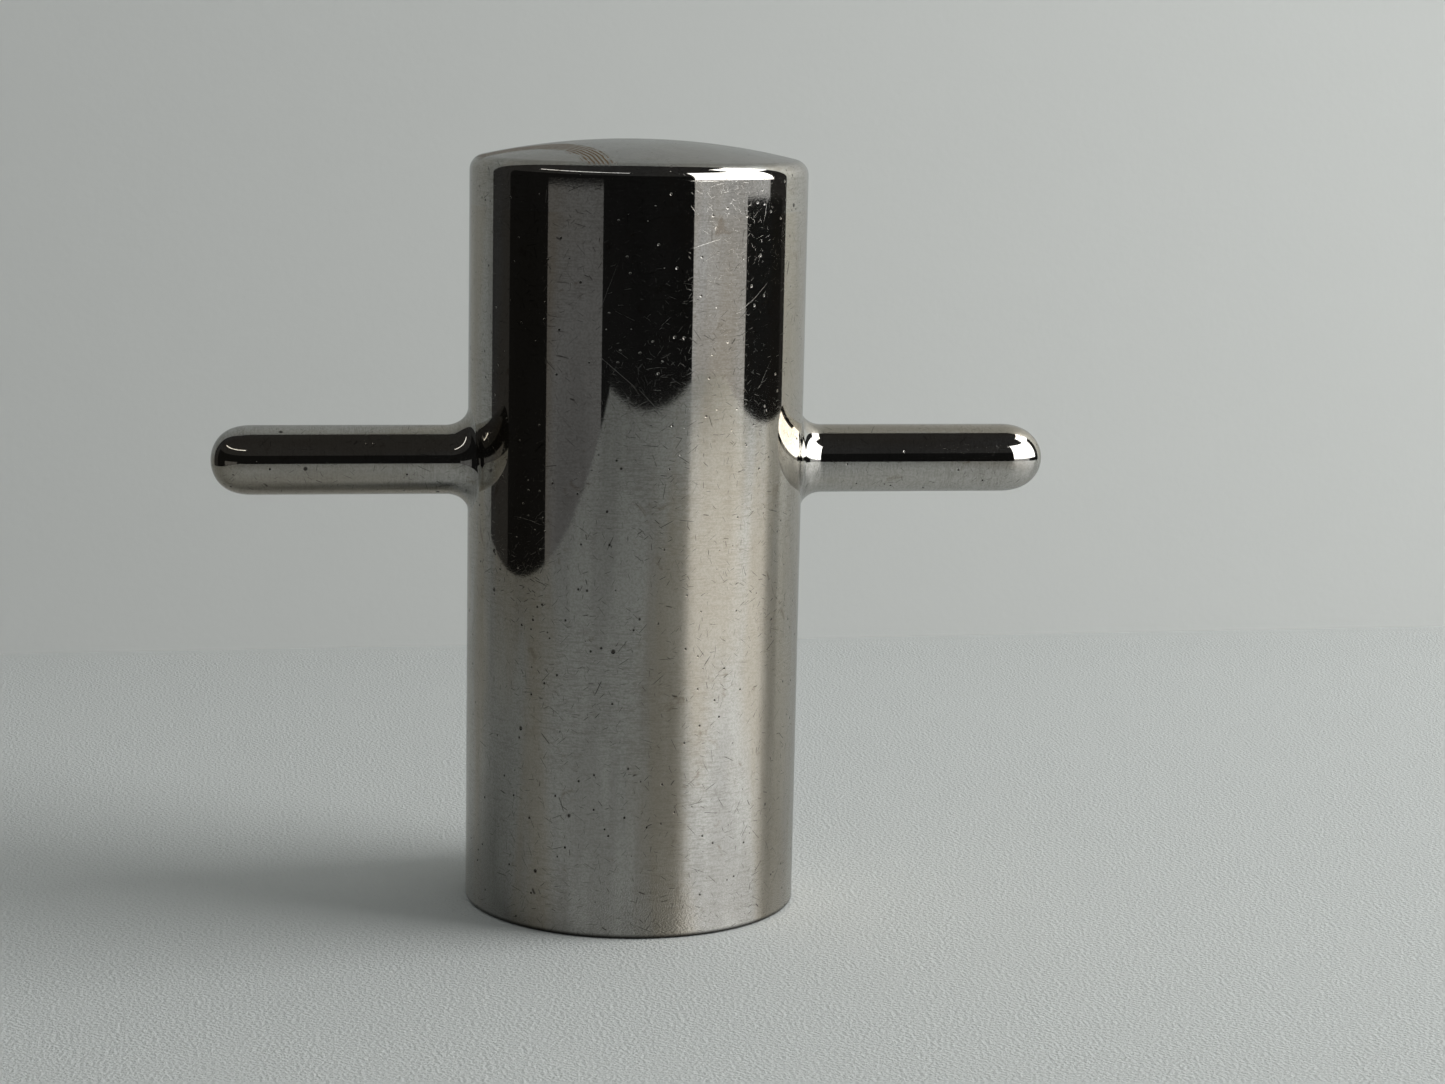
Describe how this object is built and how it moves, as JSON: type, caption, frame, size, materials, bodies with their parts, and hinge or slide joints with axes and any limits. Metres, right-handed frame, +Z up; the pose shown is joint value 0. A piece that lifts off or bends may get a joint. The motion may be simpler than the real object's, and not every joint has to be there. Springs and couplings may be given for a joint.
{
  "type": "cross bollard",
  "caption": "Polished steel mooring post with a shallow domed cap and a round cross bar with rounded ends, held to a deck by a stud from below.",
  "frame": {"origin": "centre of the rim that the post stands on, at the deck's surface", "axes": "+Z up the post, +X along the cross bar towards its longer rounded end, +Y away from the viewed side"},
  "size_m": [0.1508, 0.06, 0.1377],
  "materials": {
    "polished_steel": "mirror polished stainless steel with fine scratches",
    "polished_bar": "mirror polished stainless steel, worn at the ends",
    "polished_weld": "weld dressed to a hollow curve and polished",
    "turned_steel": "turned stainless steel",
    "raw_weld": "brushed weld metal"
  },
  "bodies": {
    "root": {"post_tube": "polished_steel", "top_cap": "polished_steel", "cap_seam_weld": "polished_steel", "cross_bar": "polished_bar", "left_arm_weld": "polished_weld", "right_arm_weld": "polished_weld", "foot_disc": "turned_steel", "foot_seam_weld": "raw_weld", "stud_boss": "turned_steel", "boss_weld": "raw_weld"}
  },
  "joints": []
}
